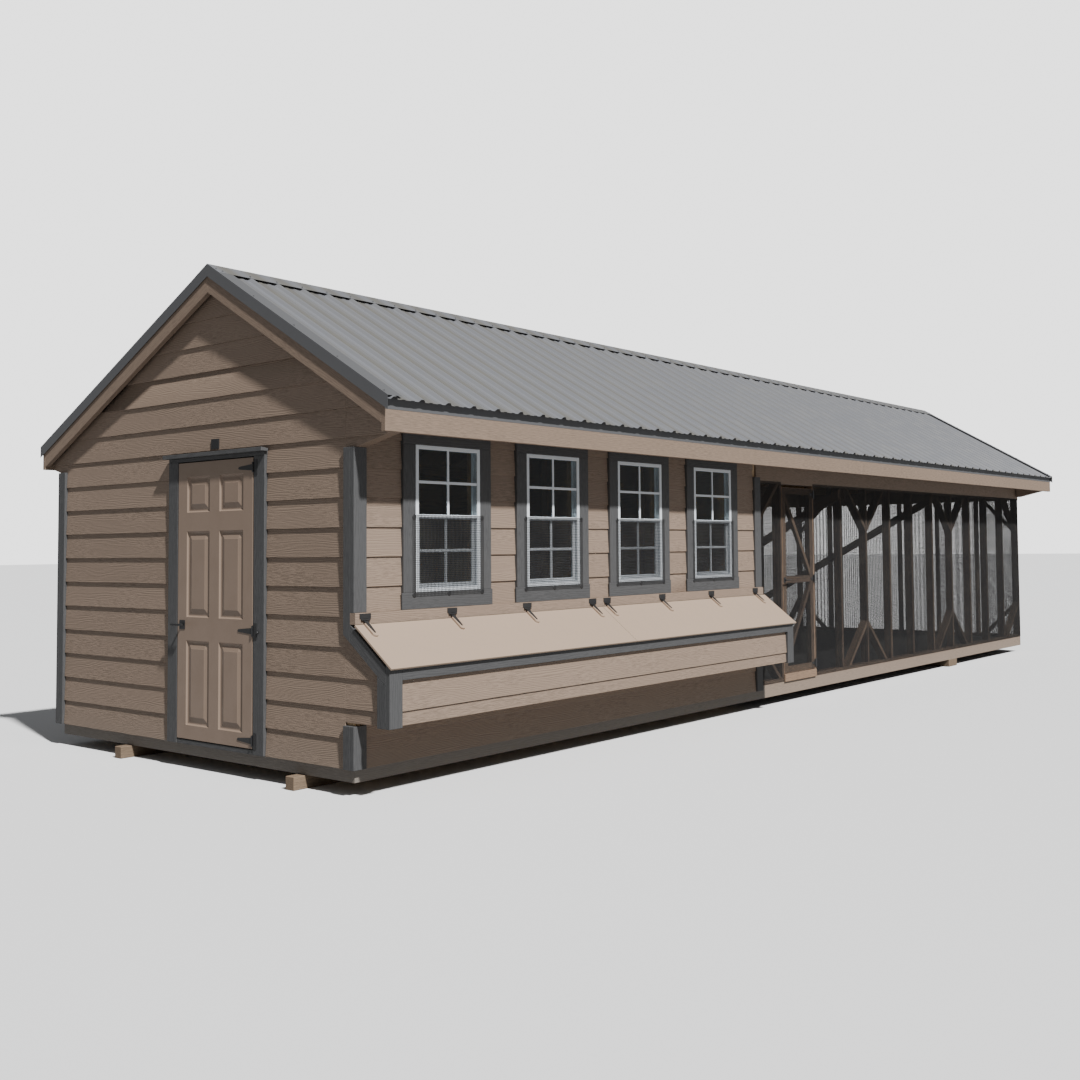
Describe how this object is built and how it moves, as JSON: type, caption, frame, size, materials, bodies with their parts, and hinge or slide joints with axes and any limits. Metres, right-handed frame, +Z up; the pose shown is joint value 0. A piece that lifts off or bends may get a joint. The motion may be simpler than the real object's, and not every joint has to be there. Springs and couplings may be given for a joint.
{
  "type": "chicken coop",
  "caption": "Long walk-in chicken coop on skids: lap-sided house with outside nest boxes, a wire run and one ribbed metal roof over both.",
  "frame": {"origin": "centre of the bounding box in plan, on the plane the skids stand on", "axes": "+X along the building from the entry gable towards the run's far end, +Y from the window and nest side towards the rear, +Z up"},
  "size_m": [12.549, 4.3618, 3.644],
  "materials": {
    "treated_lumber": "rough sawn",
    "framing_lumber": "planed",
    "stained_lumber": "weathered",
    "sheathing_board": "raw",
    "floor_mat": "matt",
    "clay_siding": "painted, embossed grain",
    "grey_trim": "painted, embossed grain",
    "wire": "matt black",
    "roof_metal": "satin",
    "edge_metal": "satin",
    "window_white": "satin",
    "window_glass": "clear",
    "door_paint": "satin",
    "black_hardware": "satin black",
    "roost_wood": "planed"
  },
  "bodies": {
    "building": {"skids": "treated_lumber", "rim_boards_coop": "grey_trim", "rim_boards_run": "clay_siding", "floor_joists": "framing_lumber", "coop_floor": "sheathing_board", "run_floor": "floor_mat", "front_wall_frame": "framing_lumber", "rear_wall_frame": "framing_lumber", "gable_wall_frame": "framing_lumber", "partition_frame": "framing_lumber", "sheathing": "sheathing_board", "siding_front": "clay_siding", "siding_gables": "clay_siding", "siding_rear": "clay_siding", "siding_partition": "clay_siding", "corner_trims": "grey_trim", "run_front_frame": "stained_lumber", "run_rear_frame": "stained_lumber", "run_headers": "clay_siding", "wire_mesh": "wire", "sway_braces": "stained_lumber", "rafters": "framing_lumber", "ridge_board": "framing_lumber", "eave_boards": "clay_siding", "rake_boards": "clay_siding", "roof_deck": "sheathing_board", "roof_panels_front": "roof_metal", "roof_panels_rear": "roof_metal", "ridge_cap": "roof_metal", "roof_edge_trim": "edge_metal", "window_trims": "grey_trim", "window_frames": "window_white", "fixed_glass": "window_glass", "door_trim": "grey_trim", "door_jamb": "grey_trim", "hinge_plates": "black_hardware", "nest_box": "sheathing_board", "nest_cladding": "clay_siding", "pop_guides": "grey_trim", "roost_bars": "roost_wood"},
    "entry_door": {"entry_door": "door_paint", "entry_straps": "black_hardware"},
    "entry_handle": {"entry_handle": "black_hardware"},
    "nest_lid_left": {"nest_lid_left": "clay_siding", "nest_straps_left": "black_hardware"},
    "nest_lid_right": {"nest_lid_right": "clay_siding", "nest_straps_right": "black_hardware"},
    "run_door": {"run_door": "stained_lumber", "run_door_mesh": "wire", "run_straps": "black_hardware"},
    "run_handle": {"run_handle": "black_hardware"},
    "pop_door": {"pop_door": "door_paint"},
    "window_sash_1": {"sash_1": "window_white", "sash_glass_1": "window_glass"},
    "window_sash_2": {"sash_2": "window_white", "sash_glass_2": "window_glass"},
    "window_sash_3": {"sash_3": "window_white", "sash_glass_3": "window_glass"},
    "window_sash_4": {"sash_4": "window_white", "sash_glass_4": "window_glass"}
  },
  "joints": [
    {"name": "entry_door_swing", "type": "hinge", "parent": "building", "child": "entry_door", "pos_m": [-6.2215, -0.711, 0.216], "axis": [0, 0, 1], "range_deg": [0, 165]},
    {"name": "entry_handle_turn", "type": "hinge", "parent": "entry_door", "child": "entry_handle", "pos_m": [-6.2155, 0.145, 1.041], "axis": [1, 0, 0], "range_deg": [0, 90]},
    {"name": "nest_lid_left_lift", "type": "hinge", "parent": "building", "child": "nest_lid_left", "pos_m": [-4.94625, -1.798, 1.126], "axis": [-1, 0, 0], "range_deg": [0, 115]},
    {"name": "nest_lid_right_lift", "type": "hinge", "parent": "building", "child": "nest_lid_right", "pos_m": [-2.50775, -1.798, 1.126], "axis": [-1, 0, 0], "range_deg": [0, 115]},
    {"name": "run_door_swing", "type": "hinge", "parent": "building", "child": "run_door", "pos_m": [-0.121, -1.735, 0.289], "axis": [0, 0, 1], "range_deg": [0, 165]},
    {"name": "run_handle_turn", "type": "hinge", "parent": "run_door", "child": "run_handle", "pos_m": [-0.7125, -1.728, 1.224], "axis": [0, 1, 0], "range_deg": [0, 90]},
    {"name": "pop_door_lift", "type": "slide", "parent": "building", "child": "pop_door", "axis": [0, 0, 1], "range_m": [0, 0.36]},
    {"name": "window_1_lift", "type": "slide", "parent": "building", "child": "window_sash_1", "axis": [0, 0, 1], "range_m": [0, 0.43]},
    {"name": "window_2_lift", "type": "slide", "parent": "building", "child": "window_sash_2", "axis": [0, 0, 1], "range_m": [0, 0.43]},
    {"name": "window_3_lift", "type": "slide", "parent": "building", "child": "window_sash_3", "axis": [0, 0, 1], "range_m": [0, 0.43]},
    {"name": "window_4_lift", "type": "slide", "parent": "building", "child": "window_sash_4", "axis": [0, 0, 1], "range_m": [0, 0.43]}
  ]
}
